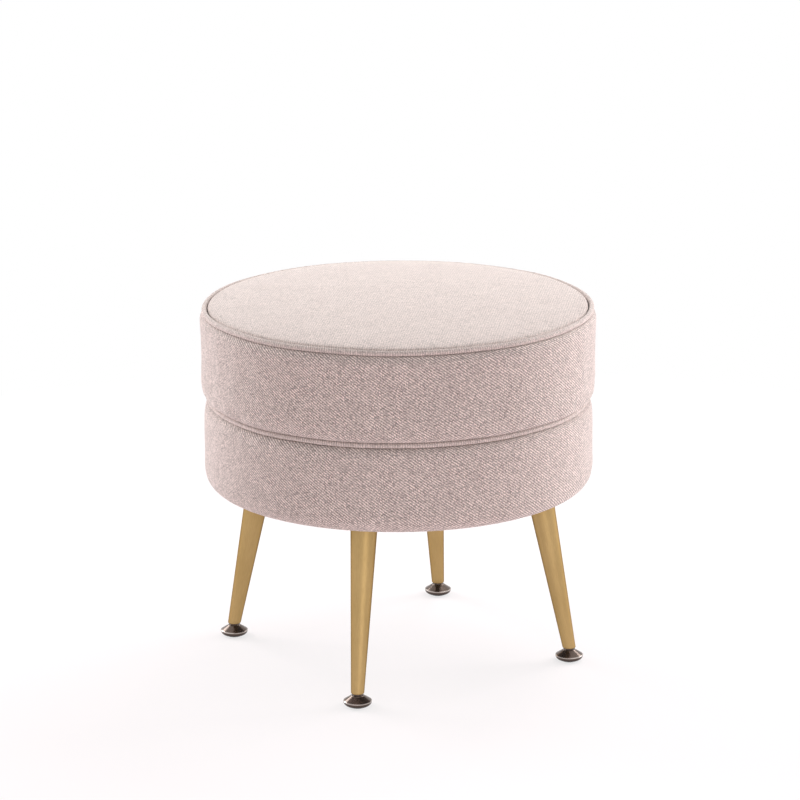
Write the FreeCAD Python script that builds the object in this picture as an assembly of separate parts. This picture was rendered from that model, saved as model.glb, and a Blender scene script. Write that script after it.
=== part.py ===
import FreeCAD, Part
import math
import os

from FreeCAD import Vector

# A round upholstered pouf: a two-tier fabric drum on four splayed, tapered metal legs with levelling feet.
# Millimetres. The origin is on the floor under the middle of the drum, +Z is up and the front faces -Y.
# The legs stand on the diagonals.

# Cover: outside sizes of the drum
seat_radius = 225.0
underside_height = 205.0
lower_tier_height = 101.5
upper_tier_height = 104.5
crown_height = 13.0
crown_shoulder_width = 46.0
crown_shoulder_rise = 8.4
widest_above_middle_seam = 51.0
top_seam_inset = 5.0
middle_seam_inset = 9.0
lower_band_inset = 2.5
bottom_edge_round = 18.0
hem_width = 10.0
band_tuck_height = 15.0
band_tuck_start_inset = 1.0
lower_tuck_height = 6.0

# Cover: cloth and piping
cover_thickness = 1.2
piping_radius = 3.0
piping_cloth_thickness = 0.9
dust_cover_thickness = 0.5
dust_cover_overlap = 8.0
dust_cover_step = 2.0
cloth_clearance = 0.3
piping_clearance = 0.6
seam_angle = 58.0

# Filling
wadding_thickness = 6.0
side_foam_thickness = 6.0
side_foam_stop_height = 8.0

# Wooden frame
base_board_thickness = 15.0
seat_board_thickness = 12.0
seat_board_gap = 1.0
hoop_thickness = 3.0
hoop_joint_gap = 1.0
post_count = 6
post_width = 45.0
post_depth = 30.0
frame_screw_head_radius = 4.2
frame_screw_head_height = 3.0
frame_screw_shank_radius = 2.2
frame_screw_length = 32.0
screw_hole_clearance = 0.1

# Staples along the rim of the dust cover
staple_count = 24
staple_width = 10.0
staple_wire = 0.7
staple_leg = 6.0
staple_inset = 4.0
staple_hole_clearance = 0.05

# Legs
leg_splay = 11.1
leg_top_radius = 15.3
leg_end_radius = 7.4
leg_wall = 1.5
leg_end_land = 0.3
plate_thickness = 3.0
plate_corner_radius = 6.0
plate_hole_edge = 6.5
plate_rim_gap = 1.6
plate_screw_gap = 6.5
plate_screw_head_radius = 4.0
plate_screw_head_height = 2.2
plate_screw_shank_radius = 2.0
plate_screw_length = 13.0
plug_height = 17.0
plug_clearance = 0.05

# Levelling feet, turned parts on an upright thread
foot_height = 13.0
foot_top_radius = 7.4
foot_top_chamfer = 0.4
foot_rim_radius = 16.0
foot_rim_height = 7.0
foot_rim_land = 0.5
foot_pad_radius = 9.5
foot_pad_thickness = 2.6
foot_pad_proud = 1.2
foot_pad_chamfer = 0.3
foot_pad_wall = 1.3
stem_thread_wall = 2.9
stem_chamfer = 0.6
stem_engagement = 13.0
stem_seat_depth = 7.5
stem_tip_room = 1.0
neck_shoulder = 2.2
neck_height = 2.0
running_clearance = 0.05

# Heights and radii that follow from the sizes above
middle_seam_height = underside_height + lower_tier_height
top_seam_height = middle_seam_height + upper_tier_height
apex_height = top_seam_height + crown_height
top_seam_radius = seat_radius - top_seam_inset
middle_seam_radius = seat_radius - middle_seam_inset
lower_band_radius = seat_radius - lower_band_inset
hem_height = underside_height + dust_cover_thickness
hem_outer_radius = lower_band_radius - bottom_edge_round
hem_inner_radius = hem_outer_radius - hem_width
board_bottom = hem_height + cover_thickness
board_top = board_bottom + base_board_thickness
board_radius = lower_band_radius - cover_thickness - side_foam_thickness - 2 * cloth_clearance
seat_board_top = middle_seam_height - piping_radius - seat_board_gap
seat_board_bottom = seat_board_top - seat_board_thickness
hoop_inner_radius = board_radius - hoop_thickness
post_outer_radius = hoop_inner_radius - cloth_clearance
post_circle_radius = post_outer_radius - post_depth / 2
plate_top = board_bottom - dust_cover_thickness
plate_bottom = plate_top - plate_thickness
leg_end_height = foot_height + neck_height
leg_rise = plate_bottom - leg_end_height
leg_lean = math.radians(leg_splay)
plate_hole_reach = leg_top_radius / math.cos(leg_lean) + plate_screw_gap + plate_screw_head_radius
plate_hole_offset = plate_hole_reach / math.sqrt(2)
plate_half = plate_hole_offset + plate_hole_edge
plate_limit = hem_inner_radius - dust_cover_step - plate_rim_gap
leg_top_circle = math.sqrt(plate_limit ** 2 - plate_half ** 2) - plate_half
leg_length = leg_rise / math.cos(leg_lean)
foot_circle = leg_top_circle + leg_rise * math.tan(leg_lean)
leg_taper = (leg_top_radius - leg_end_radius) / leg_length
stem_radius = leg_end_radius - leg_wall - stem_thread_wall
neck_radius = stem_radius + neck_shoulder
foot_bottom_radius = foot_pad_radius + foot_pad_wall
leg_azimuths = {"front_left": 225, "front_right": 315, "rear_right": 45, "rear_left": 135}

up = Vector(0, 0, 1)
centre = Vector(0, 0, 0)
reach = 2 * seat_radius


class SectionLine:
    """A line of tangent arcs and straight runs in the half section: x is the radius, z the height.

    It runs clockwise round the drum, so its right-hand side is the inside. Each end of a piece keeps its
    heading, so the same line can be drawn again further in."""

    def __init__(self, radius, height, heading):
        self.point = (radius, height)
        self.heading = heading
        self.pieces = []

    def arc_to(self, radius, height):
        chord = math.atan2(height - self.point[1], radius - self.point[0])
        turn = 2 * math.remainder(chord - self.heading, 2 * math.pi)
        half = math.hypot(radius - self.point[0], height - self.point[1]) / 2 / math.cos(turn / 4)
        aim = self.heading + turn / 4
        middle = (self.point[0] + half * math.cos(aim), self.point[1] + half * math.sin(aim))
        ends = [(self.point, self.heading), (middle, chord), ((radius, height), self.heading + turn)]
        return self._add(ends)

    def line_to(self, radius, height):
        heading = math.atan2(height - self.point[1], radius - self.point[0])
        return self._add([(self.point, heading), ((radius, height), heading)])

    def run_on(self, length):
        radius, height = self.point
        end = (radius + length * math.cos(self.heading), height + length * math.sin(self.heading))
        return self._add([(self.point, self.heading), (end, self.heading)])

    def led_by(self, length):
        (radius, height), heading = self.pieces[0][0]
        start = (radius - length * math.cos(heading), height - length * math.sin(heading))
        self.pieces.insert(0, [(start, heading), ((radius, height), heading)])
        return self

    def _add(self, ends):
        self.pieces.append(ends)
        self.point, self.heading = ends[-1]
        return self

    def edges(self, inset):
        drawn = []
        for ends in self.pieces:
            points = [inside(point, heading, inset) for point, heading in ends]
            drawn.append(Part.Arc(*points).toShape() if len(points) == 3 else Part.makeLine(*points))
        return drawn

    def first(self, inset):
        return inside(*self.pieces[0][0], inset)

    def last(self, inset):
        return inside(*self.pieces[-1][-1], inset)


def inside(point, heading, inset):
    return Vector(point[0] + inset * math.sin(heading), 0, point[1] - inset * math.cos(heading))


def heading_towards(start, end, end_heading):
    """The heading at start of the one arc that reaches end with the heading given there."""
    return 2 * math.atan2(end[1] - start[1], end[0] - start[0]) - end_heading


def turned(edges):
    """The solid that a closed half section sweeps round the Z axis."""
    wire = Part.Wire(Part.__sortEdges__(edges))
    return Part.Face(wire).revolve(centre, up, 360)


def turned_polygon(points):
    corners = [Vector(radius, 0, height) for radius, height in points]
    return Part.Face(Part.makePolygon(corners + corners[:1])).revolve(centre, up, 360)


def cylinder(radius, low, high):
    return Part.makeCylinder(radius, high - low, Vector(0, 0, low))


def ring(outer, inner, low, high):
    return cylinder(outer, low, high).cut(cylinder(inner, low, high))


def slab(low, high):
    return Part.makeBox(2 * reach, 2 * reach, high - low, Vector(-reach, -reach, low))


def spun(shape, angle):
    copy = shape.copy()
    copy.rotate(centre, up, angle)
    return copy


def moved(shape, x, y, z):
    copy = shape.copy()
    copy.translate(Vector(x, y, z))
    return copy


def skin(line, thickness):
    """A sheet of the thickness given, lying just inside the line."""
    sides = [Part.makeLine(line.first(0), line.first(thickness))]
    sides.append(Part.makeLine(line.last(0), line.last(thickness)))
    return turned(line.edges(0) + line.edges(thickness) + sides)


def on_piping(seam_radius, seam_height, angle):
    """The point just clear of the piping's surface, at an angle above the horizontal."""
    turn = math.radians(angle)
    out = piping_radius + cloth_clearance
    return (seam_radius + out * math.cos(turn), seam_height + out * math.sin(turn))


# Cover lines, from the apex outwards and down
def make_top_line():
    shoulder = (top_seam_radius - crown_shoulder_width, top_seam_height + crown_shoulder_rise)
    edge = (top_seam_radius - piping_radius - cloth_clearance, top_seam_height)
    return SectionLine(0, apex_height, 0).arc_to(*shoulder).arc_to(*edge)


def make_upper_line():
    sewn_edge = on_piping(top_seam_radius, top_seam_height, -seam_angle)
    start = (sewn_edge[0] + cover_thickness, sewn_edge[1])
    widest = (seat_radius, middle_seam_height + widest_above_middle_seam)
    end = on_piping(middle_seam_radius, middle_seam_height, seam_angle)
    tuck = (seat_radius - band_tuck_start_inset, end[1] + band_tuck_height)
    line = SectionLine(*start, heading_towards(start, widest, -math.pi / 2))
    return line.arc_to(*widest).arc_to(*tuck).arc_to(*end)


def make_lower_line():
    start = on_piping(middle_seam_radius, middle_seam_height, -seam_angle)
    tuck = (lower_band_radius, start[1] - lower_tuck_height)
    line = SectionLine(*start, heading_towards(start, tuck, -math.pi / 2))
    line.arc_to(*tuck).line_to(lower_band_radius, hem_height + bottom_edge_round)
    line.arc_to(lower_band_radius - bottom_edge_round, hem_height)
    return line.line_to(hem_inner_radius, hem_height)


top_line = make_top_line()
upper_line = make_upper_line()
lower_line = make_lower_line()


def piping_room(seam_radius, seam_height):
    return Part.makeTorus(seam_radius, piping_radius + piping_clearance, Vector(0, 0, seam_height))


top_piping_room = piping_room(top_seam_radius, top_seam_height)
middle_piping_room = piping_room(middle_seam_radius, middle_seam_height)


# Filling
def under_top_panel(inset):
    """All that lies above the seat board and under the top panel, inset from its outside."""
    line = make_top_line().run_on(seat_radius)
    side = Vector(line.last(inset).x, 0, seat_board_top)
    axis = Vector(0, 0, seat_board_top)
    joins = [Part.makeLine(line.last(inset), side), Part.makeLine(side, axis)]
    joins.append(Part.makeLine(axis, line.first(inset)))
    return turned(line.edges(inset) + joins)


def within_upper_band(inset):
    """All that lies above the seat board and within the upper band, inset from its outside."""
    line = make_upper_line().led_by(upper_tier_height)
    foot = Vector(line.last(inset).x, 0, seat_board_top)
    start = line.first(inset)
    corners = [line.last(inset), foot, Vector(0, 0, foot.z), Vector(0, 0, start.z), start]
    return turned(line.edges(inset) + Part.makePolygon(corners).Edges)


def upper_filling(inset):
    filling = under_top_panel(inset).common(within_upper_band(inset))
    return filling.cut(top_piping_room).cut(middle_piping_room)


def lower_filling(inset):
    """All that the lower tier holds, inset from the outside of its cover."""
    top = lower_line.first(inset)
    bottom = lower_line.last(inset)
    axis_top = Vector(0, 0, top.z)
    axis_bottom = Vector(0, 0, bottom.z)
    joins = [Part.makeLine(bottom, axis_bottom)]
    joins.append(Part.makeLine(axis_bottom, axis_top))
    joins.append(Part.makeLine(axis_top, top))
    return turned(lower_line.edges(inset) + joins)


def make_seat_filling():
    under_cover = cover_thickness + cloth_clearance
    under_wadding = under_cover + wadding_thickness
    wadding_foot = upper_line.last(under_cover).z
    wadding = upper_filling(under_cover).cut(upper_filling(under_wadding))
    wadding = wadding.common(slab(wadding_foot, apex_height))
    return wadding, upper_filling(under_wadding + cloth_clearance)


def make_side_foam():
    foam = lower_filling(cover_thickness + cloth_clearance)
    foam = foam.cut(cylinder(board_radius + cloth_clearance, 0, apex_height))
    return foam.common(slab(underside_height + side_foam_stop_height, seat_board_top))


# Cover
def make_piping(seam_radius, seam_height):
    place = Vector(0, 0, seam_height)
    cord_room = piping_radius - piping_cloth_thickness
    sleeve = Part.makeTorus(seam_radius, piping_radius, place)
    sleeve = sleeve.cut(Part.makeTorus(seam_radius, cord_room, place))
    return sleeve, Part.makeTorus(seam_radius, cord_room - plug_clearance, place)


def make_dust_cover():
    """A flat disc against the base board that steps down over the hem of the lower band."""
    rim = hem_inner_radius + dust_cover_overlap
    inner = hem_inner_radius - dust_cover_step
    ceiling = board_bottom
    low = ceiling - dust_cover_thickness
    step_edge = hem_inner_radius - cloth_clearance
    section = [(0, ceiling), (inner, ceiling), (step_edge, hem_height), (rim, hem_height)]
    section += [(rim, underside_height), (step_edge, underside_height)]
    section += [(inner, low), (0, low)]
    return turned_polygon(section)


# Wooden frame
def make_base_board():
    board = cylinder(board_radius, board_bottom, board_top)
    lower_rim = [edge for edge in board.Edges if edge.BoundBox.ZMax < board_bottom + cloth_clearance]
    edge_round = min(board_radius - hem_outer_radius, base_board_thickness - cover_thickness)
    return board.makeFillet(edge_round, lower_rim)


def make_hoop():
    hoop = ring(board_radius, hoop_inner_radius, board_top, seat_board_bottom)
    joint = Part.makeBox(reach, hoop_joint_gap, reach, Vector(0, -hoop_joint_gap / 2, 0))
    return hoop.cut(joint)


def make_post():
    height = seat_board_bottom - board_top
    block = Part.makeBox(reach, post_width, height, Vector(0, -post_width / 2, board_top))
    return block.common(ring(post_outer_radius, post_outer_radius - post_depth, board_top, seat_board_bottom))


def frame_screw(clearance):
    """A countersunk screw pointing up from the origin, its head flush with z = 0."""
    head = frame_screw_head_radius + clearance
    shank = frame_screw_shank_radius + clearance
    tip = frame_screw_length + clearance
    neck = frame_screw_head_height
    return turned_polygon([(0, 0), (head, 0), (shank, neck), (shank, tip - shank), (0, tip)])


def frame_screws(clearance):
    screws = []
    for number in range(post_count):
        rising = moved(frame_screw(clearance), post_circle_radius, 0, board_bottom)
        falling = frame_screw(clearance).mirror(centre, up)
        falling = moved(falling, post_circle_radius, 0, seat_board_top)
        screws.append(spun(rising, number * 360 / post_count))
        screws.append(spun(falling, number * 360 / post_count))
    return Part.makeCompound(screws)


def staple_bar(clearance, low, high, offset, width):
    """One straight stretch of a staple across the radius at the rim of the dust cover."""
    half = staple_wire / 2 + clearance
    circle = hem_inner_radius + staple_inset
    return Part.makeBox(2 * half, width + 2 * clearance, high - low,
                        Vector(circle - half, offset - width / 2 - clearance, low))


def staples(clearance):
    crown_bottom = underside_height - staple_wire
    tip = underside_height + staple_leg + clearance
    leg_offset = (staple_width - staple_wire) / 2
    one = staple_bar(clearance, crown_bottom, underside_height, 0, staple_width)
    for offset in (-leg_offset, leg_offset):
        one = one.fuse(staple_bar(clearance, crown_bottom, tip, offset, staple_wire))
    one = one.removeSplitter()
    step = 360 / staple_count
    return Part.makeCompound([spun(one, (number + 0.5) * step) for number in range(staple_count)])


# Legs, made along +X and then spun to their places
def leg_cone(shrink, low, high):
    """The leg's cone, shrunk by a wall, between two level cuts."""
    overrun = leg_top_radius
    foot = Vector(foot_circle, 0, leg_end_height)
    along = Vector(-math.sin(leg_lean), 0, math.cos(leg_lean))
    start = leg_end_radius - shrink - overrun * leg_taper
    end = leg_top_radius - shrink + overrun * leg_taper
    cone = Part.makeCone(start, end, leg_length + 2 * overrun, foot - along * overrun, along)
    return cone.common(slab(low, high))


def make_leg_tube():
    tube = leg_cone(0, leg_end_height, plate_bottom)
    end_edges = [edge for edge in tube.Edges if edge.BoundBox.ZMax < leg_end_height + leg_end_land]
    tube = tube.makeFillet(leg_wall - leg_end_land, end_edges)
    return tube.cut(leg_cone(leg_wall, leg_end_height, plate_bottom))


def make_leg_plug():
    top = leg_end_height + plug_height
    plug = leg_cone(leg_wall + plug_clearance, leg_end_height, top)
    bore_depth = stem_engagement + stem_tip_room
    bore = cylinder(stem_radius + running_clearance, leg_end_height, leg_end_height + bore_depth)
    return plug.cut(moved(bore, foot_circle, 0, 0))


def plate_hole_places():
    sides = (-plate_hole_offset, plate_hole_offset)
    return [(leg_top_circle + along, across) for along in sides for across in sides]


def make_leg_plate():
    plate = Part.makeBox(2 * plate_half, 2 * plate_half, plate_thickness,
                         Vector(leg_top_circle - plate_half, -plate_half, plate_bottom))
    upright = [edge for edge in plate.Edges if edge.BoundBox.ZLength > plate_thickness / 2]
    plate = plate.makeFillet(plate_corner_radius, upright)
    return plate.cut(plate_screws(screw_hole_clearance))


def plate_screw(clearance):
    """A pan-head screw pointing up, the underside of its head on z = 0."""
    head = plate_screw_head_radius
    low = -plate_screw_head_height
    shank = plate_screw_shank_radius + clearance
    tip = plate_screw_length + plate_thickness + clearance
    crown = head - plate_screw_head_height / 2
    outline = [(0, low), (crown, low), (head, low / 2), (head, 0), (shank, 0)]
    outline += [(shank, tip - shank), (0, tip)]
    return turned_polygon(outline)


def plate_screws(clearance):
    screw = plate_screw(clearance)
    return Part.makeCompound([moved(screw, x, y, plate_bottom) for x, y in plate_hole_places()])


# Levelling feet, turned about the Z axis and then moved to their places
def make_foot_stem():
    low = foot_height - stem_seat_depth
    tip = leg_end_height + stem_engagement
    outline = [(0, low), (stem_radius, low), (stem_radius, foot_height), (neck_radius, foot_height)]
    outline += [(neck_radius, leg_end_height), (stem_radius, leg_end_height)]
    outline += [(stem_radius, tip - stem_chamfer), (stem_radius - stem_chamfer, tip), (0, tip)]
    return turned_polygon(outline)


def make_foot_base():
    bore = stem_radius + running_clearance
    seat = foot_height - stem_seat_depth
    recess = foot_pad_radius + plug_clearance
    rim_low = foot_rim_height - foot_rim_land
    bowl = SectionLine(foot_rim_radius, rim_low, -math.pi / 2).arc_to(foot_bottom_radius, foot_pad_proud)
    outline = [(foot_bottom_radius, foot_pad_proud), (recess, foot_pad_proud), (recess, foot_pad_thickness),
               (0, foot_pad_thickness), (0, seat), (bore, seat), (bore, foot_height),
               (foot_top_radius - foot_top_chamfer, foot_height),
               (foot_top_radius, foot_height - foot_top_chamfer), (foot_rim_radius, foot_rim_height),
               (foot_rim_radius, rim_low)]
    corners = [Vector(radius, 0, height) for radius, height in outline]
    straight = [Part.makeLine(start, end) for start, end in zip(corners, corners[1:])]
    return turned(straight + bowl.edges(0))


def make_foot_pad():
    rim = foot_pad_radius - foot_pad_chamfer
    return turned_polygon([(0, 0), (rim, 0), (foot_pad_radius, foot_pad_chamfer),
                           (foot_pad_radius, foot_pad_thickness), (0, foot_pad_thickness)])


def make_cover(nodes):
    nodes["top_panel"] = skin(top_line, cover_thickness)
    nodes["upper_band"] = skin(upper_line, cover_thickness)
    nodes["lower_band"] = skin(lower_line, cover_thickness)
    nodes["top_piping"], nodes["top_piping_cord"] = make_piping(top_seam_radius, top_seam_height)
    nodes["middle_piping"], nodes["middle_piping_cord"] = make_piping(middle_seam_radius, middle_seam_height)
    nodes["dust_cover"] = make_dust_cover()
    nodes["seat_wadding"], nodes["seat_foam"] = make_seat_filling()
    nodes["side_foam"] = make_side_foam()


def make_frame(nodes):
    nodes["base_board"] = make_base_board()
    nodes["seat_board"] = cylinder(board_radius, seat_board_bottom, seat_board_top)
    nodes["frame_hoop"] = make_hoop()
    for number in range(post_count):
        nodes[f"frame_post_{number + 1}"] = spun(make_post(), number * 360 / post_count)
    nodes["frame_screws"] = frame_screws(0)
    nodes["staples"] = staples(0)


def make_legs(nodes):
    screws = []
    for place, azimuth in leg_azimuths.items():
        nodes[f"leg_tube_{place}"] = spun(make_leg_tube(), azimuth)
        nodes[f"leg_plate_{place}"] = spun(make_leg_plate(), azimuth)
        nodes[f"leg_plug_{place}"] = spun(make_leg_plug(), azimuth)
        screws += [spun(screw, azimuth) for screw in plate_screws(0).Solids]
        for name, shape in (("stem", make_foot_stem()), ("base", make_foot_base()), ("pad", make_foot_pad())):
            nodes[f"foot_{name}_{place}"] = spun(moved(shape, foot_circle, 0, 0), azimuth)
    nodes["plate_screws"] = Part.makeCompound(screws)


def make_holes(nodes):
    """Cut the holes of the fasteners in all that they pass through."""
    staple_holes = staples(staple_hole_clearance)
    for name in ("dust_cover", "lower_band", "base_board"):
        nodes[name] = nodes[name].cut(staple_holes)
    screw_holes = frame_screws(screw_hole_clearance)
    wooden = ["base_board", "seat_board"] + [name for name in nodes if name.startswith("frame_post")]
    for name in wooden:
        nodes[name] = nodes[name].cut(screw_holes)
    for azimuth in leg_azimuths.values():
        plate_holes = spun(plate_screws(screw_hole_clearance), azimuth)
        for name in ("dust_cover", "base_board"):
            nodes[name] = nodes[name].cut(plate_holes)


def main():
    os.makedirs("parts", exist_ok=True)
    nodes = {}
    make_cover(nodes)
    make_frame(nodes)
    make_legs(nodes)
    make_holes(nodes)
    for name, shape in nodes.items():
        solids = shape.Solids
        if not shape.isValid() or not solids:
            raise ValueError(f"{name} is not a valid solid")
        whole = solids[0] if len(solids) == 1 else Part.makeCompound(solids)
        whole.exportStep(f"parts/{name}.step")
        print(f"{name}: {len(solids)} solid(s), {whole.Volume / 1000:.2f} cm3")


main()
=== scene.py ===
"""Looks of a round two-tier pouf: twill cover with piped seams, satin brass legs, dark bronze feet.

Blender 4.5, in metres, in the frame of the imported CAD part. The cover is cut into the panels that the real
one is sewn from, and a cloth simulation swells its top and upper band. Rigid CAD pieces stay and get their
finishes here.
"""

import math

import bmesh
import bpy
import numpy as np
from mathutils import Matrix, Vector


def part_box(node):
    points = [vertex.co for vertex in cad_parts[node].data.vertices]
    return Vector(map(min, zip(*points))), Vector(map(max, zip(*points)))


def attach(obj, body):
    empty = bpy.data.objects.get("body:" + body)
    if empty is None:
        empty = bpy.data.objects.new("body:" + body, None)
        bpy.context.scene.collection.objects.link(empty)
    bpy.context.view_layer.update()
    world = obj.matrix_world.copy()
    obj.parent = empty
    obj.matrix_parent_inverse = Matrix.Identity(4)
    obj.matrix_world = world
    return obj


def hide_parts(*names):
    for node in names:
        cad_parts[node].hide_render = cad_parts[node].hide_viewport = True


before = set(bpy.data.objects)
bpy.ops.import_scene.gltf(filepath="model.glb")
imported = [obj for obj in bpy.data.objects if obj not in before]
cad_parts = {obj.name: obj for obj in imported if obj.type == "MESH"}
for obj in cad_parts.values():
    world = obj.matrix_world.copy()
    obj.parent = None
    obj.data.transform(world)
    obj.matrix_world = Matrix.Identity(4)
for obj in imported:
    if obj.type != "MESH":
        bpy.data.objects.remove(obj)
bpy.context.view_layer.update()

mm = 0.001
leg_names = ["front_left", "front_right", "rear_right", "rear_left"]

# The photograph's camera, found from the seams and the feet.
camera_distance = 3644.0 * mm
camera_height = 1285.3 * mm
camera_azimuth = math.radians(-31.42)
camera_pan = math.radians(0.029)
camera_pitch = math.radians(15.140)
camera_roll = math.radians(-0.324)
photo_width = 800
focal_pixels = 3293.9
sensor_width = 36.0

# The cover.
cover_thickness = 1.2 * mm
columns_round = 360
band_columns = 300
row_step = 5 * mm
tuck_length = 11 * mm
tuck_step = 1.1 * mm
swell_cap = 3 * mm
swell_unevenness = 0.5 * mm
join_angle = math.radians(58.6)
join_groove_depth = 1.4 * mm
join_groove_reach = 1.1 * mm
columns_beside_join = np.array([0.7, 1.5, 2.5]) * mm
weave_map = "weave"

# The seams: how far they pucker the cloth, wander from their height and vary in thickness.
pucker_hold = 4 * mm
band_pucker_depth = 0.35 * mm
band_pucker_reach = 14 * mm
top_pucker_depth = 0.3 * mm
top_pucker_reach = 15 * mm
middle_wander = 0.45 * mm
top_wander = 0.25 * mm
top_pull = 0.4 * mm
welt_sides = 16
welt_unevenness = 0.10 * mm
welt_ridge_slant = 0.012
welt_wander = 0.2 * mm

# The weave: a twill of a pale warp and a darker weft.
warp_pitch = 1.13 * mm
weft_pitch = 0.81 * mm
brightest_yarn = 1.08
top_grain_turn = math.radians(94)

# The floor: the shadow shows near the object and fades into white further out.
floor_half = 6.0
shadow_full_to = 0.5
shadow_gone_from = 1.3
glow_near = 0.72


def paint(red, green, blue):
    """A shader colour from a colour as a screen shows it, 0 to 255."""
    share = np.array([red, green, blue]) / 255
    linear = np.where(share <= 0.04045, share / 12.92, ((share + 0.055) / 1.055) ** 2.4)
    return (*linear.tolist(), 1.0)


def ring_of(node):
    """A round node's outer radius, lowest height and highest height."""
    low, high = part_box(node)
    return high.x, low.z, high.z


def welt_of(node):
    """A piping's ring radius, height and section radius."""
    outer, bottom, top = ring_of(node)
    section = (top - bottom) / 2
    return outer - section, (top + bottom) / 2, section


# Smooth outlines

def smooth_line(points, step=0.25 * mm):
    """A dense smooth curve through (radius, height) points."""
    points = np.array(points)
    chord = np.linalg.norm(np.diff(points, axis=0), axis=1)
    place = np.concatenate([[0], np.cumsum(chord)])
    slope = np.gradient(points, place, axis=0)
    at = np.linspace(0, place[-1], round(place[-1] / step) + 1)
    before = np.clip(np.searchsorted(place, at, side="right") - 1, 0, len(chord) - 1)
    span = chord[before][:, None]
    t = (at - place[before])[:, None] / span
    start, end = points[before], points[before + 1]
    leave, arrive = slope[before] * span, slope[before + 1] * span
    return (
        (2 * t**3 - 3 * t**2 + 1) * start
        + (t**3 - 2 * t**2 + t) * leave
        + (3 * t**2 - 2 * t**3) * end
        + (t**3 - t**2) * arrive
    )


def length_along(line):
    """The length from the start of a line to each of its points."""
    return np.concatenate([[0], np.cumsum(np.linalg.norm(np.diff(line, axis=0), axis=1))])


def points_at(line, places):
    """The points of a line at these lengths along it."""
    along = length_along(line)
    return np.stack([np.interp(places, along, line[:, k]) for k in (0, 1)], axis=1)


def row_places(length):
    """Lengths along a panel at its rows: close together in the tucks at both ends, wider between."""
    tuck = np.linspace(0, tuck_length, round(tuck_length / tuck_step) + 1)
    body = np.linspace(tuck_length, length - tuck_length, round((length - 2 * tuck_length) / row_step) + 1)
    return np.concatenate([tuck[:-1], body, length - tuck[-2::-1]])


def band_noise(angles, lowest, highest, seed):
    """Smooth noise round a ring, about -1 to 1, made of waves that close on themselves."""
    numbers = np.random.default_rng(seed)
    waves = np.arange(lowest, highest + 1)
    phases = numbers.uniform(0, 2 * math.pi, len(waves))
    heights = numbers.normal(0, 1, len(waves))
    total = sum(h * np.sin(w * angles + p) for w, p, h in zip(waves, phases, heights))
    return total / (1.6 * np.linalg.norm(heights) / math.sqrt(2))


# The lines of the cover, as (radius, height)

top_radius, _, top_apex = ring_of("top_panel")
upper_radius, upper_bottom, upper_top = ring_of("upper_band")
lower_radius, lower_bottom, lower_top = ring_of("lower_band")
top_welt_ring, top_welt_height, _ = welt_of("top_piping")


def top_line():
    """The top panel from its crown to the edge that rolls down beside the top welt."""
    crown = top_apex - top_welt_height
    drops = [(0, 0), (0.23, 0.03), (0.46, 0.12), (0.69, 0.28), (0.8, 0.38), (0.9, 0.5), (0.95, 0.585),
             (0.975, 0.655), (0.988, 0.73), (0.9945, 0.83), (0.998, 0.97)]
    return smooth_line([(share * top_radius, top_apex - drop * crown) for share, drop in drops])


def upper_line():
    """The upper band from its tuck above the middle welt, round its swell, to the top welt."""
    lower_end = [(upper_radius - inset * mm, upper_bottom + rise * mm)
                 for inset, rise in [(8.6, 0.3), (5.4, 0.9), (2.6, 3.4), (0.7, 10), (0.1, 26), (0, 48)]]
    upper_end = [(upper_radius - inset * mm, upper_top - sink * mm)
                 for inset, sink in [(0.2, 30), (0.5, 13), (0.8, 5.4), (1.4, 2.6), (2.4, 0.9), (5.2, 0.2)]]
    return smooth_line(lower_end + upper_end)


def lower_line():
    """The lower band from its stapled hem, round the bottom edge and up to the middle welt."""
    hem, edge = 10 * mm, 18 * mm
    hem_outer = lower_radius - edge
    under = [(hem_outer - hem * share, lower_bottom) for share in (1, 0.5, 0)]
    turns = [math.radians(22.5 * step) for step in (1, 2, 3, 4)]
    round_edge = [(hem_outer + edge * math.sin(a), lower_bottom + edge * (1 - math.cos(a))) for a in turns]
    sinks = [(0, 60), (0.1, 28), (0.6, 14), (1.7, 7.5), (3.6, 3.2), (6.6, 0.6)]
    side = [(lower_radius - inset * mm, lower_top - sink * mm) for inset, sink in sinks]
    return smooth_line(under + round_edge + side)


# Meshes

def new_piece(name, mesh):
    """An object for a mesh, in the scene, smooth shaded."""
    mesh.polygons.foreach_set("use_smooth", np.ones(len(mesh.polygons), bool))
    piece = bpy.data.objects.new(name, mesh)
    bpy.context.scene.collection.objects.link(piece)
    return piece


def grid_piece(name, grid, u, v, close_columns=True, close_rows=False):
    """A mesh of quads on a grid of points, with u and v, in metres, as the weave's coordinates."""
    rows, columns = grid.shape[:2]
    i, j = np.meshgrid(
        np.arange(rows if close_rows else rows - 1),
        np.arange(columns if close_columns else columns - 1),
        indexing="ij",
    )
    corner_i = i[..., None] + np.array([0, 0, 1, 1])
    corner_j = j[..., None] + np.array([0, 1, 1, 0])
    faces = (corner_i % rows) * columns + corner_j % columns
    mesh = bpy.data.meshes.new(name)
    mesh.from_pydata(grid.reshape(-1, 3).tolist(), [], faces.reshape(-1, 4).tolist())
    u_corners = u[corner_j] if u.ndim == 1 else u[corner_i, corner_j]
    v_corners = v[corner_i] if v.ndim == 1 else v[corner_i, corner_j]
    places = np.stack([u_corners, v_corners], axis=-1).astype(np.float32)
    mesh.uv_layers.new(name=weave_map).uv.foreach_set("vector", places.ravel())
    return new_piece(name, mesh)


def revolve(line, angles):
    """A grid of points, with rows along a line and columns round the axis."""
    radius, height = line[:, :1], line[:, 1:]
    return np.stack([radius * np.cos(angles), radius * np.sin(angles), height + 0 * angles], axis=-1)


def outward(grid):
    """A grid's unit normals, outwards for rows that rise and columns that run anticlockwise."""
    columns = np.roll(grid, -1, axis=1) - np.roll(grid, 1, axis=1)
    rows = np.gradient(grid, axis=0)
    normal = np.cross(columns, rows)
    return normal / np.linalg.norm(normal, axis=-1, keepdims=True)


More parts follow.
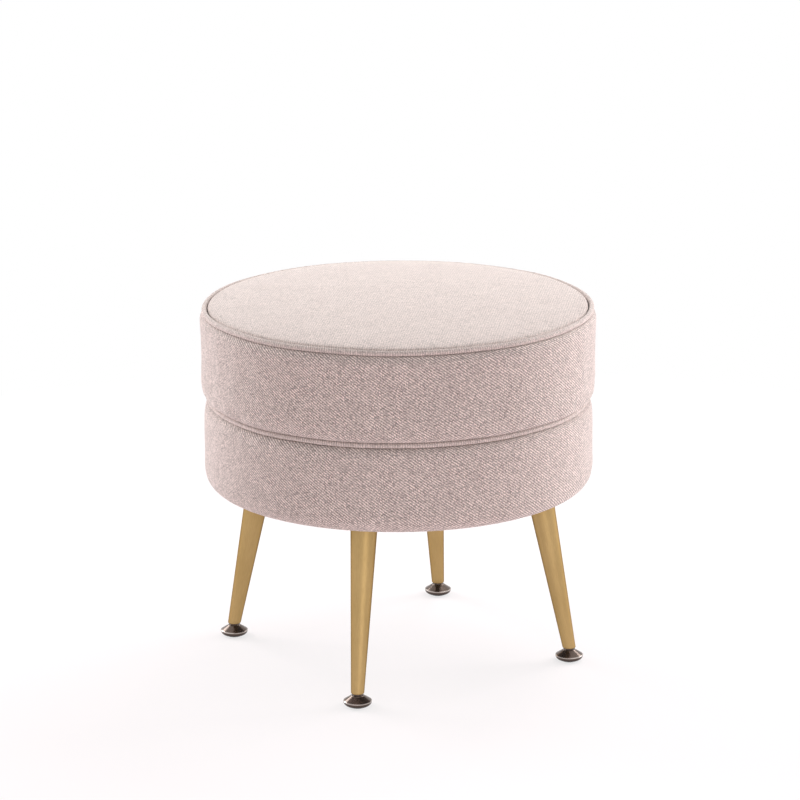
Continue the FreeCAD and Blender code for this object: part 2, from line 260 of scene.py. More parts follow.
def smooth_once(piece):
    """Smooths a piece by one subdivision."""
    smooth = piece.modifiers.new("smooth", "SUBSURF")
    smooth.levels = 1
    smooth.render_levels = 1


def give_thickness(piece, thickness):
    """Gives a panel the cloth's thickness, inwards."""
    solid = piece.modifiers.new("thickness", "SOLIDIFY")
    solid.thickness = thickness
    solid.offset = -1


# The cloth simulation

swell_frames = 20
swell_pressure = 4.0
disc_marks = 84


def simulated(grid, held, close_columns):
    """The same grid of points after pressure swells it as cloth, while the held points stay."""
    rows, columns = grid.shape[:2]
    flat = np.zeros((rows + 1, columns + 1))
    cloth_piece = grid_piece("swelling", grid, flat, flat, close_columns)
    pins = cloth_piece.vertex_groups.new(name="held")
    pins.add(np.flatnonzero(held).tolist(), 1.0, "REPLACE")
    cloth = cloth_piece.modifiers.new("swelling", "CLOTH")
    cloth.settings.vertex_group_mass = pins.name
    cloth.settings.quality = 6
    cloth.settings.mass = 0.3
    cloth.settings.tension_stiffness = 20
    cloth.settings.compression_stiffness = 20
    cloth.settings.shear_stiffness = 8
    cloth.settings.bending_stiffness = 0.6
    cloth.settings.shrink_min = -0.01
    cloth.settings.use_pressure = True
    cloth.settings.uniform_pressure_force = swell_pressure
    cloth.settings.effector_weights.gravity = 0
    cloth.collision_settings.use_collision = False
    scene = bpy.context.scene
    cloth.point_cache.frame_start = 1
    cloth.point_cache.frame_end = swell_frames
    for step in range(1, swell_frames + 1):
        scene.frame_set(step)
    result = cloth_piece.evaluated_get(bpy.context.evaluated_depsgraph_get()).data
    places = np.empty(rows * columns * 3, np.float32)
    result.vertices.foreach_get("co", places)
    bpy.data.objects.remove(cloth_piece)
    scene.frame_set(1)
    return places.reshape(grid.shape).astype(float)


def capped(moves):
    """The same field of moves, scaled down where its largest is over the cap, so that its form stays."""
    largest = np.linalg.norm(moves, axis=-1).max()
    print(f"simulated swell: largest {largest / mm:.2f} mm, cap {swell_cap / mm:.2f} mm")
    return moves * min(1.0, swell_cap / largest)


# Cover panels

def band_angles():
    """The angles of a band's columns from the join at the back, closer together beside the join."""
    even = np.linspace(0, 2 * math.pi, band_columns, endpoint=False)
    beside = columns_beside_join / upper_radius
    return np.sort(np.concatenate([even, beside, 2 * math.pi - beside]))


def band_swell(line, seed):
    """Moves of a band's points on an even grid, with that grid's lengths and angles."""
    length = length_along(line)[-1]
    places = np.linspace(0, length, round(length / row_step) + 1)
    angles = np.linspace(0, 2 * math.pi, columns_round // 2, endpoint=False)
    grid = revolve(points_at(line, places), angles + join_angle)
    share = np.sin(math.pi * places / length)[:, None]
    uneven = swell_unevenness * share * band_noise(angles, 5, 40, seed)
    grid -= outward(grid) * (swell_cap * share + uneven)[..., None]
    held = np.zeros(grid.shape[:2], bool)
    held[[0, 1, -2, -1]] = True
    moves = capped(simulated(grid, held, True) - grid)
    return moves, places, angles


def spread_moves(moves, rows, columns, new_rows, new_columns, period=None):
    """A grid's moves taken to other rows and columns; columns that close on themselves have a period."""
    by_row = np.stack([[np.interp(new_rows, rows, moves[:, j, k]) for k in range(3)]
                       for j in range(len(columns))], axis=1)
    return np.stack([[np.interp(new_columns, columns, by_row[k, :, i], period=period)
                      for i in range(len(new_rows))] for k in range(3)], axis=-1)


def fade(distance, reach):
    """One at no distance, fading to almost nothing past the reach."""
    return np.exp(-((distance / reach) ** 2))


def pucker_zone(from_seam, reach):
    """Where a seam puckers the cloth: beside it, but not in it and not past the reach."""
    return fade(from_seam, reach) - fade(from_seam, pucker_hold)


def band_cover(name, line, swells, lower_drift, upper_drift, seed):
    """A band of the cover: a strip round the seat, joined at the back and tucked in at both seams."""
    length = length_along(line)[-1]
    places = row_places(length)
    angles = band_angles()
    grid = revolve(points_at(line, places), angles + join_angle)
    normal = outward(grid)
    if swells:
        share = np.sin(math.pi * places / length)[:, None, None]
        moves = spread_moves(*band_swell(line, seed), places, angles, period=2 * math.pi)
        grid += moves - normal * swell_cap * share
    pucker = band_pucker_depth * band_noise(angles, 50, 100, seed + 1)
    near = pucker_zone(np.minimum(places, length - places), band_pucker_reach)
    from_join = np.minimum(angles, 2 * math.pi - angles) * upper_radius
    groove = -join_groove_depth * fade(from_join, join_groove_reach)
    grid += normal * (near[:, None] * pucker + groove)[..., None]
    upwards = np.clip(places / length, 0, 1)[:, None] ** 2
    grid[..., 2] += upwards * upper_drift(angles) + (1 - upwards) * lower_drift(angles)
    u = np.append(angles, 2 * math.pi) * upper_radius
    piece = grid_piece(name, grid, u, places)
    smooth_once(piece)
    give_thickness(piece, cover_thickness)
    return piece


def no_drift(angles):
    """The drift of an edge that is cut true."""
    return 0 * angles


def middle_drift(angles):
    """How far the middle seam wanders up and down round the seat."""
    return middle_wander * band_noise(angles, 2, 14, 5)


def top_drift(angles):
    """How far the top seam wanders up and down round the seat, pulled down a little by the crown."""
    return top_wander * band_noise(angles, 2, 12, 6) - top_pull


def square_to_disc(marks):
    """A square grid of marks, -1 to 1, pressed into a disc: each point's share of the radius and angle."""
    a, b = np.meshgrid(marks, marks)
    x = a * np.sqrt(1 - b * b / 2)
    y = b * np.sqrt(1 - a * a / 2)
    return np.hypot(x, y), np.arctan2(y, x)


def disc_points(line, share, angles):
    """Points of a panel of revolution at shares of its length and at angles."""
    length = length_along(line)[-1]
    radius, height = points_at(line, (share * length).ravel()).T
    radius, height = radius.reshape(share.shape), height.reshape(share.shape)
    return np.stack([radius * np.cos(angles), radius * np.sin(angles), height], axis=-1)


def disc_swell(line, marks):
    """Moves of the top panel's points on an even square grid, taken to a grid with other marks."""
    even = np.linspace(-1, 1, disc_marks)
    share, angles = square_to_disc(even)
    grid = disc_points(line, share, angles)
    grid[..., 2] -= swell_cap * (1 - share**2)
    held = share > 1 - 2 * row_step / length_along(line)[-1]
    moves = capped(simulated(grid, held, False) - grid)
    return spread_moves(moves, even, even, marks, marks)


def top_cover(name):
    """The crowned top panel, rolled down at its edge beside the top welt."""
    line = top_line()
    length = length_along(line)[-1]
    places = row_places(2 * length)
    marks = (places - length) / length
    share, angles = square_to_disc(marks)
    grid = disc_points(line, share, angles)
    grid += disc_swell(line, marks)
    grid[..., 2] -= swell_cap * (1 - share**2)
    pucker = pucker_zone((1 - share) * length, top_pucker_reach)
    grid[..., 2] += top_pucker_depth * pucker * band_noise(angles, 50, 95, 21)
    grid[..., 2] += share**12 * top_drift(angles - join_angle)
    u = share * length * np.cos(angles)
    v = share * length * np.sin(angles)
    piece = grid_piece(name, grid, u, v, close_columns=False)
    smooth_once(piece)
    give_thickness(piece, cover_thickness)
    return piece


def welt(name, node, drift, seed):
    """A piping: a strip of the cover's cloth, cut on the bias and wrapped unevenly round its cord."""
    ring, height, section = welt_of(node)
    angles = np.linspace(0, 2 * math.pi, 2 * columns_round, endpoint=False)
    turns = np.linspace(0, 2 * math.pi, welt_sides, endpoint=False)[:, None]
    radius = section + welt_unevenness * band_noise(angles + welt_ridge_slant * turns, 60, 170, seed)
    out = ring + welt_wander * band_noise(angles, 3, 20, seed + 1) + radius * np.cos(turns)
    grid = np.stack([
        out * np.cos(angles + join_angle),
        out * np.sin(angles + join_angle),
        height + drift(angles) + radius * np.sin(turns),
    ], axis=-1)
    u = np.append(angles, 2 * math.pi) * ring
    v = np.linspace(0, 2 * math.pi, len(turns) + 1) * section
    piece = grid_piece(name, grid, u, v, close_rows=True)
    smooth_once(piece)
    return piece


# Materials

class Shader:
    """A material's nodes, wired by short calls that each give the socket of their result."""

    def __init__(self, name):
        self.material = bpy.data.materials.new(name)
        self.material.use_nodes = True
        self.tree = self.material.node_tree
        self.surface = self.tree.nodes["Principled BSDF"]

    def put(self, socket, value):
        if isinstance(value, bpy.types.NodeSocket):
            self.tree.links.new(value, socket)
        else:
            socket.default_value = value

    def node(self, kind, inputs=None, output=0, **properties):
        made = self.tree.nodes.new("ShaderNode" + kind)
        for key, value in properties.items():
            setattr(made, key, value)
        for key, value in (inputs or {}).items():
            self.put(made.inputs[key], value)
        return made.outputs[output]

    def set(self, **values):
        for key, value in values.items():
            self.put(self.surface.inputs[key.replace("_", " ")], value)

    def math(self, operation, *values):
        return self.node("Math", dict(enumerate(values)), operation=operation)

    def add(self, a, b):
        return self.math("ADD", a, b)

    def times(self, a, b):
        return self.math("MULTIPLY", a, b)

    def split(self, vector):
        made = self.tree.nodes.new("ShaderNodeSeparateXYZ")
        self.put(made.inputs[0], vector)
        return made.outputs

    def join(self, x, y, z=0.0):
        return self.node("CombineXYZ", {"X": x, "Y": y, "Z": z})

    def object_place(self, cell=(1, 1, 1), turn=(0, 0, 0)):
        """The place on the object, in cells of this size, turned as given."""
        place = self.node("TexCoord", output="Object")
        sizes = {"Vector": place, "Rotation": turn, "Scale": cell}
        return self.node("Mapping", sizes, vector_type="TEXTURE")

    def noise(self, vector, scale=1.0, detail=2.0, roughness=0.5):
        inputs = {"Vector": vector, "Scale": scale, "Detail": detail, "Roughness": roughness}
        return self.node("TexNoise", inputs)

    def range(self, value, low, high, to_low, to_high):
        inputs = {"Value": value, "From Min": low, "From Max": high, "To Min": to_low, "To Max": to_high}
        return self.node("MapRange", inputs)

    def mix(self, factor, a, b, blend="MIX"):
        return self.node("Mix", {0: factor, 6: a, 7: b}, output=2, data_type="RGBA", blend_type=blend)

    def bump(self, height, distance, strength=1.0):
        return self.node("Bump", {"Height": height, "Distance": distance, "Strength": strength})


def twill(shader, place):
    """A two-and-two twill: its relief, where the warp is on top, and numbers for floats and crossings."""
    across, along, _ = shader.split(place)
    warp_at = shader.math("DIVIDE", across, warp_pitch)
    weft_at = shader.math("DIVIDE", along, weft_pitch)
    warp = shader.math("FLOOR", warp_at)
    weft = shader.math("FLOOR", weft_at)
    in_warp = shader.math("FRACT", warp_at)
    in_weft = shader.math("FRACT", weft_at)
    diagonal = shader.add(warp, weft)
    step = shader.math("FLOORED_MODULO", diagonal, 4.0)
    warp_over = shader.math("LESS_THAN", step, 1.5)

    def yarn(side, end):
        roundness = shader.math("SINE", shader.times(side, math.pi))
        float_arc = shader.math("SINE", shader.times(shader.add(step, end), math.pi / 2))
        return shader.times(roundness, shader.math("ABSOLUTE", float_arc))

    over_height = shader.times(warp_over, yarn(in_warp, in_weft))
    under = shader.math("SUBTRACT", 1.0, warp_over)
    under_height = shader.times(under, yarn(in_weft, in_warp))
    relief = shader.math("SQRT", shader.add(over_height, under_height))
    yarn_number = shader.add(shader.times(warp_over, warp), shader.times(under, weft))
    lane = shader.math("FLOOR", shader.math("DIVIDE", diagonal, 4.0))
    float_number = shader.join(yarn_number, lane, warp_over)
    return relief, warp_over, float_number, shader.join(warp, weft)


def cover_fabric(name, turn=0.0, twill_depth=1.0, fleck_depth=0.2, speck_depth=0.5):
    """Heathered twill: pale warp, darker weft, uneven yarns, a soft nap.

    The depths say how much the tone varies with the twill, from float to float and between crossings.
    The twill's depth also sets the painted shade that darkens the hollows between the yarns.
    """
    shader = Shader(name)
    flat = shader.node("UVMap", uv_map=weave_map)
    turned = shader.node("Mapping", {"Vector": flat, "Rotation": (0, 0, turn)})
    wander = shader.node("TexNoise", {"Vector": turned, "Scale": 110.0, "Detail": 2.0}, output="Color")
    centred = shader.node("VectorMath", {0: wander, 1: (0.5, 0.5, 0.5)}, operation="SUBTRACT")
    drift = shader.node("VectorMath", {0: centred, 3: 0.9 * mm}, operation="SCALE")
    place = shader.node("VectorMath", {0: turned, 1: drift}, operation="ADD")
    relief, warp_over, float_number, crossing = twill(shader, place)

    fleck = shader.node("TexWhiteNoise", {"Vector": float_number}, noise_dimensions="3D")
    speck = shader.node("TexWhiteNoise", {"Vector": crossing}, noise_dimensions="2D")
    slub = shader.noise(shader.node("Mapping", {"Vector": place, "Scale": (700, 40, 1)}), 1.0, 2.0)
    pale = shader.mix(shader.range(slub, 0.3, 0.7, 0, 1), paint(238, 221, 215), paint(250, 235, 228))
    dark = shader.mix(shader.range(slub, 0.3, 0.7, 0, 1), paint(170, 153, 148), paint(192, 175, 170))
    warp_share = shader.range(warp_over, 0, 1, 0.5 - twill_depth / 2, 0.5 + twill_depth / 2)
    yarns = shader.mix(warp_share, dark, pale)
    # Painted shade: the colour darkens in the hollows between the yarns, following the twill's relief.
    painted_relief_shade = shader.range(relief, 0.0, 1.0, 1 - 0.42 * twill_depth, 1.0)
    float_tone = shader.range(fleck, 0.0, 1.0, 1 - fleck_depth, 1 + fleck_depth)
    tone = shader.times(float_tone, shader.range(speck, 0.0, 1.0, 1 - speck_depth, 1 + speck_depth))
    cloudy = shader.range(shader.noise(place, 45.0, 3.0), 0.3, 0.7, 0.96, 1.04)
    tone_and_painted_shade = shader.math("MINIMUM", shader.times(shader.times(painted_relief_shade, tone), cloudy), brightest_yarn)
    colour = shader.mix(1.0, yarns, shader.join(tone_and_painted_shade, tone_and_painted_shade, tone_and_painted_shade), "MULTIPLY")
    fibres = shader.noise(place, 2600.0, 2.0)
    height = shader.add(relief, shader.times(fibres, 0.35))
    shader.set(
        Base_Color=colour,
        Roughness=shader.range(relief, 0, 1, 0.98, 0.82),
        Normal=shader.bump(height, 0.35 * mm, 0.6),
        Specular_IOR_Level=0.25,
        Sheen_Weight=0.45,
        Sheen_Roughness=0.45,
        Sheen_Tint=paint(252, 248, 245),
    )
    return shader.material


def satin_brass(leg):
    """Satin gold-brass with a fine grain brushed along this leg."""
    foot_low, foot_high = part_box("foot_stem_" + leg)
    plate_low, plate_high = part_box("leg_plate_" + leg)
    axis = (plate_low + plate_high) / 2 - (foot_low + foot_high) / 2
    turn = axis.to_track_quat("Z", "Y").to_euler()
    shader = Shader("brass_satin_" + leg)
    grain = shader.noise(shader.object_place((0.35 * mm, 0.35 * mm, 45 * mm), turn), 1.0, 3.0)
    blotch = shader.noise(shader.object_place((22 * mm, 22 * mm, 60 * mm), turn), 1.0, 2.0)
    tone = shader.mix(shader.range(blotch, 0.3, 0.7, 0, 1), paint(179, 149, 99), paint(191, 160, 110))
    shader.set(
        Base_Color=shader.mix(shader.range(grain, 0.35, 0.65, 0, 0.35), tone, paint(161, 132, 89)),
        Specular_Tint=paint(120, 128, 140),
        Metallic=1.0,
        Roughness=shader.range(grain, 0.3, 0.7, 0.34, 0.46),
        Normal=shader.bump(grain, 0.02 * mm, 0.4),
    )
    return shader.material


def dark_bronze(leg):
    """Polished dark bronze, with faint handling marks, a painted highlight along this foot's rim and painted
    shade below it.
    """
    low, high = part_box("foot_base_" + leg)
    rim_height = low.z + 0.48 * (high.z - low.z)
    shader = Shader("foot_bronze_" + leg)
    height = shader.split(shader.object_place())[2]
    from_rim = shader.math("ABSOLUTE", shader.math("SUBTRACT", height, rim_height))
    # Painted highlight: a bright line of colour along the rim, where a polished edge would catch the light.
    painted_rim_highlight = shader.range(from_rim, 0.3 * mm, 0.8 * mm, 0.75, 0.0)
    smudge = shader.noise(shader.object_place((9 * mm, 9 * mm, 9 * mm)), 1.0, 3.0)
    scratch = shader.noise(shader.object_place((0.5 * mm, 4 * mm, 0.5 * mm)), 1.0, 2.0)
    bronze = shader.mix(smudge, paint(88, 75, 68), paint(108, 94, 86))
    # Painted shade: the bowl below the rim darkens towards the bottom, standing for the dark floor shadow it
    # reflects.
    painted_shade_below_rim = shader.mix(shader.range(height, low.z, rim_height, 0.0, 1.0), paint(34, 29, 28), bronze)
    shader.set(
        Base_Color=shader.mix(painted_rim_highlight, painted_shade_below_rim, paint(215, 206, 200)),
        Metallic=0.8,
        Roughness=shader.range(smudge, 0.3, 0.7, 0.16, 0.24),
        Normal=shader.bump(scratch, 0.004 * mm, 0.3),
    )
    return shader.material


def pad_rubber():
    """Black moulded rubber with a fine grain."""
    shader = Shader("pad_rubber")
    grain = shader.noise(shader.object_place((0.4 * mm, 0.4 * mm, 0.4 * mm)), 1.0, 3.0)
    shader.set(
        Base_Color=shader.mix(grain, paint(22, 22, 22), paint(48, 47, 46)),
        Roughness=shader.range(grain, 0.3, 0.7, 0.6, 0.85),
        Normal=shader.bump(grain, 0.05 * mm, 0.5),
    )
    return shader.material


def bright_zinc():
    """Zinc-plated steel with a crystalline bloom."""
    shader = Shader("zinc_screws")
    bloom = shader.node("TexVoronoi", {"Vector": shader.object_place(), "Scale": 900.0}, output="Color")
    tone = shader.node("SeparateColor", {0: bloom})
    shader.set(
        Base_Color=shader.mix(tone, paint(176, 178, 178), paint(212, 213, 210)),
        Metallic=1.0,
        Roughness=shader.range(tone, 0, 1, 0.28, 0.46),
    )
    return shader.material


def wood(name, pale, dark, cell, plies=0.0):
    """Wood with its grain along the cell's longest side, and plies of this thickness, if any."""
    shader = Shader(name)
    grain = shader.noise(shader.object_place(cell), 1.0, 4.0, 0.6)
    rings = shader.math("SINE", shader.times(grain, 22.0))
    streak = shader.range(rings, -1, 1, 0, 1)
    colour = shader.mix(streak, pale, dark)
    if plies:
        height = shader.split(shader.object_place())[2]
        layer = shader.math("FLOORED_MODULO", shader.math("DIVIDE", height, plies), 2.0)
        glue = shader.range(shader.math("LESS_THAN", layer, 1.0), 0, 1, 0.0, 0.35)
        colour = shader.mix(glue, colour, dark)
    shader.set(
        Base_Color=colour,
        Roughness=shader.range(streak, 0, 1, 0.62, 0.8),
        Normal=shader.bump(grain, 0.15 * mm, 0.4),
    )
    return shader.material


def hardboard():
    """Pressed brown fibre board."""
    shader = Shader("hardboard")
    fibres = shader.noise(shader.object_place((1.2 * mm, 1.2 * mm, 1.2 * mm)), 1.0, 5.0, 0.7)
    shader.set(
        Base_Color=shader.mix(fibres, paint(96, 68, 44), paint(150, 112, 78)),
        Roughness=shader.range(fibres, 0.3, 0.7, 0.6, 0.85),
        Normal=shader.bump(fibres, 0.1 * mm, 0.5),
    )
    return shader.material


def soft_filling(name, pale, dark, cell, depth):
    """Foam or wadding: pores or tufts of this size and depth."""
    shader = Shader(name)
    inputs = {"Vector": shader.object_place(), "Scale": 1 / cell, "Randomness": 1.0}
    pores = shader.node("TexVoronoi", inputs)
    cloud = shader.noise(shader.object_place(), 60.0, 3.0)
    shader.set(
        Base_Color=shader.mix(shader.add(shader.times(pores, 0.6), shader.times(cloud, 0.4)), dark, pale),
        Roughness=shader.range(cloud, 0.3, 0.7, 0.9, 1.0),
        Normal=shader.bump(pores, depth, 0.7),
        Sheen_Weight=0.2,
    )
    return shader.material


def dust_cloth():
    """Black spun-bonded cloth with its bonding dots."""
    shader = Shader("dust_cloth")
    place = shader.object_place((1.6 * mm, 1.6 * mm, 1.6 * mm), (0, 0, math.radians(45)))
    dots = shader.node("TexVoronoi", {"Vector": place, "Scale": 1.0, "Randomness": 0.15})
    fibres = shader.noise(shader.object_place((0.25 * mm, 2.5 * mm, 1 * mm)), 1.0, 4.0)
    height = shader.add(shader.times(dots, 0.7), shader.times(fibres, 0.3))
    shader.set(
        Base_Color=shader.mix(height, paint(26, 26, 28), paint(62, 62, 65)),
        Roughness=shader.range(fibres, 0.3, 0.7, 0.75, 0.95),
        Normal=shader.bump(height, 0.15 * mm, 0.6),
        Sheen_Weight=0.1,
    )
    return shader.material


def cotton_cord():
    """Twisted cotton: strands that run round the cord at a slant."""
    shader = Shader("piping_cord")
    x, y, z = shader.split(shader.object_place())
    along = shader.times(shader.math("ARCTAN2", y, x), top_welt_ring / (5 * mm))
    slant = shader.add(shader.times(along, 2 * math.pi), shader.times(z, 2 * math.pi / (6 * mm)))
    strands = shader.range(shader.math("SINE", slant), -1, 1, 0, 1)
    fibres = shader.noise(shader.object_place((0.3 * mm, 0.3 * mm, 0.3 * mm)), 1.0, 3.0)
    shader.set(
        Base_Color=shader.mix(shader.times(strands, fibres), paint(190, 184, 170), paint(240, 237, 228)),
        Roughness=shader.range(fibres, 0.3, 0.7, 0.85, 1.0),
        Normal=shader.bump(strands, 0.4 * mm, 0.7),
    )
    return shader.material


def dress(objects, material):
    """Gives objects one material in place of those they have."""
    for each in objects:
        each.data.materials.clear()
        each.data.materials.append(material)


def nodes_named(start):
    """The CAD nodes whose names start so."""
    return [node for name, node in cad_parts.items() if name.startswith(start)]


def dress_cad_nodes():
    """Finishes for the rigid CAD pieces, and for the cords inside the pipings."""
    for leg in leg_names:
        brass = satin_brass(leg)
        dress([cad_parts[kind + leg] for kind in ("leg_tube_", "leg_plate_", "leg_plug_")], brass)
        dress([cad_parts[kind + leg] for kind in ("foot_base_", "foot_stem_")], dark_bronze(leg))
    dress(nodes_named("foot_pad_"), pad_rubber())
    zinc = bright_zinc()
    for start in ("frame_screws", "plate_screws", "staples"):
        dress(nodes_named(start), zinc)
    ply_cell = (60 * mm, 4 * mm, 4 * mm)
    plywood = wood("plywood", paint(222, 190, 146), paint(190, 152, 106), ply_cell, plies=1.5 * mm)
    dress([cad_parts["base_board"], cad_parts["seat_board"]], plywood)
    pine = wood("pine", paint(230, 198, 150), paint(196, 150, 98), (6 * mm, 6 * mm, 90 * mm))
    dress(nodes_named("frame_post_"), pine)
    dress([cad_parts["frame_hoop"]], hardboard())
    dress([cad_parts["top_piping_cord"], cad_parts["middle_piping_cord"]], cotton_cord())


# Soft pieces

def place_soft(piece, material, slot, *nodes):
    """Puts a soft piece on the fixed body in place of its CAD nodes."""
    dress([piece], material)
    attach(piece, "frame")
    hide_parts(*nodes)


def make_cover():
    """The panels and pipings of the cover, sewn round the seat."""
    bands = cover_fabric("cover_twill")
    top = top_cover("cover_top")
    # The top's copy of the twill has much less painted relief shade, so it is lighter overall, standing for
    # the flatter light from above.
    top_cloth_less_painted_shade = cover_fabric("cover_twill_top", top_grain_turn, twill_depth=0.3, fleck_depth=0.1,
                             speck_depth=0.34)
    place_soft(top, top_cloth_less_painted_shade, "cover_fabric", "top_panel")
    upper = band_cover("cover_upper_band", upper_line(), True, middle_drift, top_drift, seed=31)
    place_soft(upper, bands, "cover_fabric", "upper_band")
    lower = band_cover("cover_lower_band", lower_line(), False, no_drift, middle_drift, seed=41)
    place_soft(lower, bands, "cover_fabric", "lower_band")
    bias = cover_fabric("cover_twill_bias", math.radians(45), twill_depth=0.5, speck_depth=0.3)
    top_welt = welt("welt_top", "top_piping", top_drift, seed=51)
    place_soft(top_welt, bias, "cover_fabric", "top_piping")
    middle_welt = welt("welt_middle", "middle_piping", middle_drift, seed=61)
    place_soft(middle_welt, bias, "cover_fabric", "middle_piping")


def round_piece(name, outline, step, closed=False):
    """A form of revolution from (radius, height) points, with any points on the axis merged into one."""
    line = smooth_line(outline, step)
    angles = np.linspace(0, 2 * math.pi, columns_round // 2, endpoint=False)
    u = np.append(angles, 2 * math.pi) * upper_radius
    v = np.append(length_along(line), length_along(line)[-1] + step)
    piece = grid_piece(name, revolve(line, angles), u, v, close_rows=closed)
    merged = bmesh.new()
    merged.from_mesh(piece.data)
    bmesh.ops.remove_doubles(merged, verts=merged.verts, dist=1e-6)
    merged.to_mesh(piece.data)
    merged.free()
    return piece


def outline_from(corner_radius, corner_height, points):
    """Points given in millimetres inwards and upwards from a corner."""
    return [(max(corner_radius - inset * mm, 0.0), corner_height + rise * mm) for inset, rise in points]


def make_seat_foam(material):
    """The crowned foam block of the seat."""
    radius, bottom, top = ring_of("seat_foam")
    drops = [(0, 0.2), (100, 1.7), (175, 4.8), (200, 7.9)]
    crown = [(out * mm, top - drop * mm) for out, drop in drops]
    edge = outline_from(radius, top, [(7, -12), (2.2, -22), (0.4, -41)])
    side = outline_from(radius, bottom, [(0.2, 54), (0.8, 32), (2.6, 16), (4.4, 7), (5.7, 1.6)])
    side += outline_from(radius, bottom, [(9, 0.2), (67, 0.1)])
    foam = round_piece("filling_seat_foam", crown + edge + side + [(0, bottom + 0.1 * mm)], 4 * mm)
    place_soft(foam, material, "foam", "seat_foam")


def make_wadding():
    """The wadding over the foam block: out over its crown and down its side, then back up inside."""
    radius, bottom, top = ring_of("seat_wadding")
    outside = [(0, top - 0.9 * mm), (100 * mm, top - 2.6 * mm), (173 * mm, top - 6 * mm)]
    outside += outline_from(radius, top, [(28.5, -9.4), (17.5, -12.6), (12, -15.7), (8.5, -18.0)])
    outside += outline_from(radius, top, [(5.3, -22.5), (2.5, -34), (1.1, -50)])
    side = outline_from(radius, bottom, [(0.9, 47), (1.5, 28), (3.3, 15), (6.6, 6), (9.0, 3)])
    inside = outline_from(radius, bottom, [(9.0, 7), (6.5, 25), (6.1, 47)])
    inside += outline_from(radius, top, [(6.5, -46), (8.3, -28), (13.2, -18.1), (23.5, -14)])
    inside += [(175 * mm, top - 10.8 * mm), (100 * mm, top - 7.5 * mm), (0, top - 5.8 * mm)]
    wadding = round_piece("filling_wadding", outside + side + inside, 2.5 * mm)
    white = soft_filling("wadding", paint(244, 244, 241), paint(214, 214, 210), 3 * mm, 0.8 * mm)
    place_soft(wadding, white, "wadding", "seat_wadding")


def make_side_foam(material):
    """The foam round the lower tier."""
    radius, bottom, top = ring_of("side_foam")
    outline = outline_from(radius, bottom, [(6.0, 3), (4.5, 2.6), (2.3, 6), (1.1, 13), (0.9, 44)])
    outline += outline_from(radius, top, [(1.1, -9.5), (2.4, -4), (4.5, -1.2), (6.0, -1.5)])
    side = round_piece("filling_side_foam", outline, 2.5 * mm, closed=True)
    place_soft(side, material, "foam", "side_foam")


def make_fillings():
    """What the cover is stretched over."""
    yellow = soft_filling("foam", paint(243, 232, 206), paint(214, 196, 160), 1.4 * mm, 0.6 * mm)
    make_seat_foam(yellow)
    make_wadding()
    make_side_foam(yellow)


def make_underside():
    """The dust cover, stretched under the base board and stapled over the hem."""
    outer, bottom, top = ring_of("dust_cover")
    thickness = 0.5 * mm
    flat_bottom = top - thickness
    outline = [(share * outer, flat_bottom) for share in (0, 0.45, 0.75, 0.93)]
    outline += [(outer - 10.2 * mm, flat_bottom - 0.2 * mm)]
    outline += [(outer - inset * mm, bottom) for inset in (7.5, 4, 0)]
    cloth = round_piece("underside_cloth", outline, 2.5 * mm)
    give_thickness(cloth, thickness)
    place_soft(cloth, dust_cloth(), "dust_cloth", "dust_cover")


# Stage, light and camera

def make_floor():
    """A plain pale floor that shows the object's shadow and turns white further out."""
    corners = [(x * floor_half, y * floor_half, 0) for x, y in [(-1, -1), (1, -1), (1, 1), (-1, 1)]]
    mesh = bpy.data.meshes.new("floor")
    mesh.from_pydata(corners, [], [(0, 1, 2, 3)])
    floor = new_piece("floor", mesh)
    shader = Shader("floor_white")
    # Painted light: the floor's pink tint stands for the pinkish light bounced into its shadow.
    shader.set(Base_Color=paint(252, 237, 240), Roughness=0.9, Specular_IOR_Level=0.1)
    seen = direct_rays(shader)
    glow = shader.node("Emission", {"Color": (1, 1, 1, 1), "Strength": 1.0})
    from_object = shader.node("VectorMath", {0: shader.object_place()}, output="Value", operation="LENGTH")
    glow_share = shader.range(from_object, shadow_full_to, shadow_gone_from, glow_near, 1.0)
    share = shader.times(seen, glow_share)
    both = shader.node("MixShader", {0: share, 1: shader.surface.outputs[0], 2: glow})
    shader.put(shader.tree.nodes["Material Output"].inputs["Surface"], both)
    dress([floor], shader.material)


def direct_rays(shader):
    """One for rays from the camera or from a mirror or glass, nothing for those that carry light."""
    path = shader.tree.nodes.new("ShaderNodeLightPath")
    rays = [path.outputs[name] for name in ("Is Camera Ray", "Is Glossy Ray", "Is Transmission Ray")]
    return shader.math("MINIMUM", shader.add(shader.add(rays[0], rays[1]), rays[2]), 1.0)


class WorldShader(Shader):
    """The world's nodes, wired in the same way."""

    def __init__(self, name):
        world = bpy.data.worlds.new(name)
        world.use_nodes = True
        self.material = world
        self.tree = world.node_tree


def make_world(ambient):
    """A surround that is white where it shows and a soft even light elsewhere."""
    shader = WorldShader("surround")
    seen = direct_rays(shader)
    strength = shader.range(seen, 0, 1, ambient, 1.0)
    back = shader.node("Background", {"Color": (1, 1, 1, 1), "Strength": strength})
    shader.put(shader.tree.nodes["World Output"].inputs["Surface"], back)
    bpy.context.scene.world = shader.material


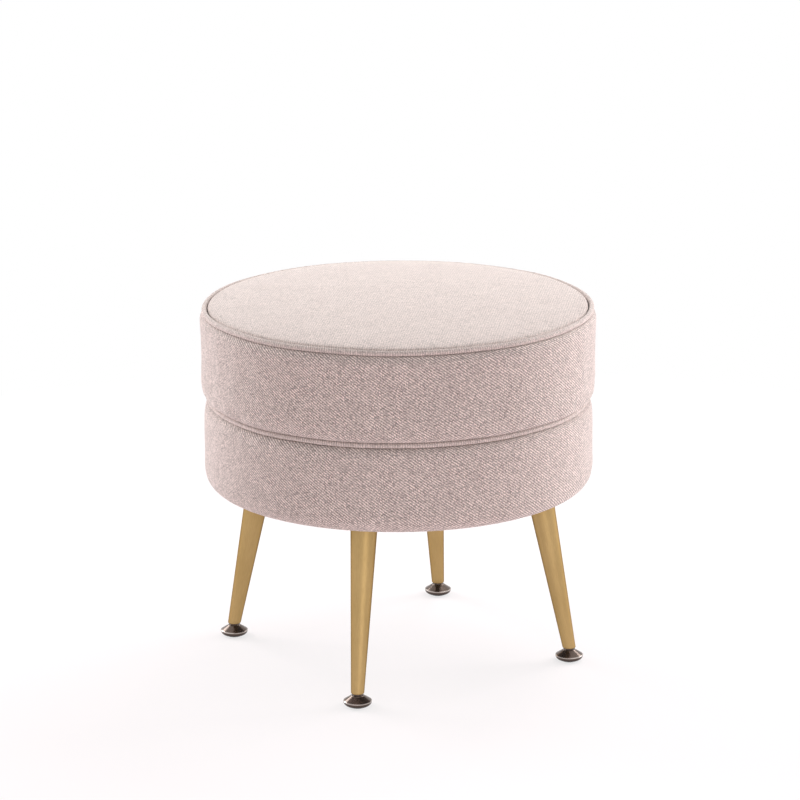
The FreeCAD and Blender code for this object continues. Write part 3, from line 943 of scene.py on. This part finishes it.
def camera_frame():
    """Unit vectors to the right and away, level, as the camera sees them."""
    right = Vector((math.cos(camera_azimuth), math.sin(camera_azimuth), 0))
    away = Vector((-math.sin(camera_azimuth), math.cos(camera_azimuth), 0))
    return right, away


def softbox(name, to_right, behind, height, width, watts, aim_height=0.3):
    """A square lamp, placed as the camera sees it and aimed at the drum's axis at a height."""
    right, away = camera_frame()
    lamp = bpy.data.lights.new(name, "AREA")
    lamp.shape = "SQUARE"
    lamp.size = width
    lamp.energy = watts
    holder = bpy.data.objects.new(name, lamp)
    bpy.context.scene.collection.objects.link(holder)
    holder.location = right * to_right + away * behind + Vector((0, 0, height))
    aim = Vector((0, 0, aim_height)) - holder.location
    holder.rotation_euler = aim.to_track_quat("-Z", "Y").to_euler()


def make_lights():
    """Soft studio light: large boxes to each side, one high behind, and a weak low one in front."""
    softbox("key_right", to_right=2.15, behind=1.05, height=1.05, width=1.6, watts=58)
    softbox("fill_left", to_right=-1.95, behind=1.35, height=1.05, width=1.6, watts=54)
    softbox("overhead", to_right=0.7, behind=1.5, height=2.4, width=1.0, watts=16)
    softbox("low_front", to_right=0.2, behind=-0.75, height=0.08, width=0.5, watts=0.6, aim_height=0.2)
    make_world(ambient=0.63)


def make_camera():
    """The photograph's camera: its level distance, height, turns and focal length."""
    _, away = camera_frame()
    data = bpy.data.cameras.new("camera")
    data.sensor_width = sensor_width
    data.sensor_fit = "HORIZONTAL"
    data.lens = focal_pixels / photo_width * sensor_width
    data.clip_end = 50
    holder = bpy.data.objects.new("camera", data)
    bpy.context.scene.collection.objects.link(holder)
    holder.location = away * -camera_distance + Vector((0, 0, camera_height))
    heading = Matrix.Rotation(camera_azimuth - camera_pan, 3, "Z")
    tilt = Matrix.Rotation(math.pi / 2 - camera_pitch, 3, "X")
    roll = Matrix.Rotation(camera_roll, 3, "Z")
    holder.rotation_euler = (heading @ tilt @ roll).to_euler()
    bpy.context.scene.camera = holder


make_cover()
make_fillings()
make_underside()
dress_cad_nodes()
make_floor()
make_lights()
make_camera()
bpy.context.scene.view_settings.view_transform = "Standard"
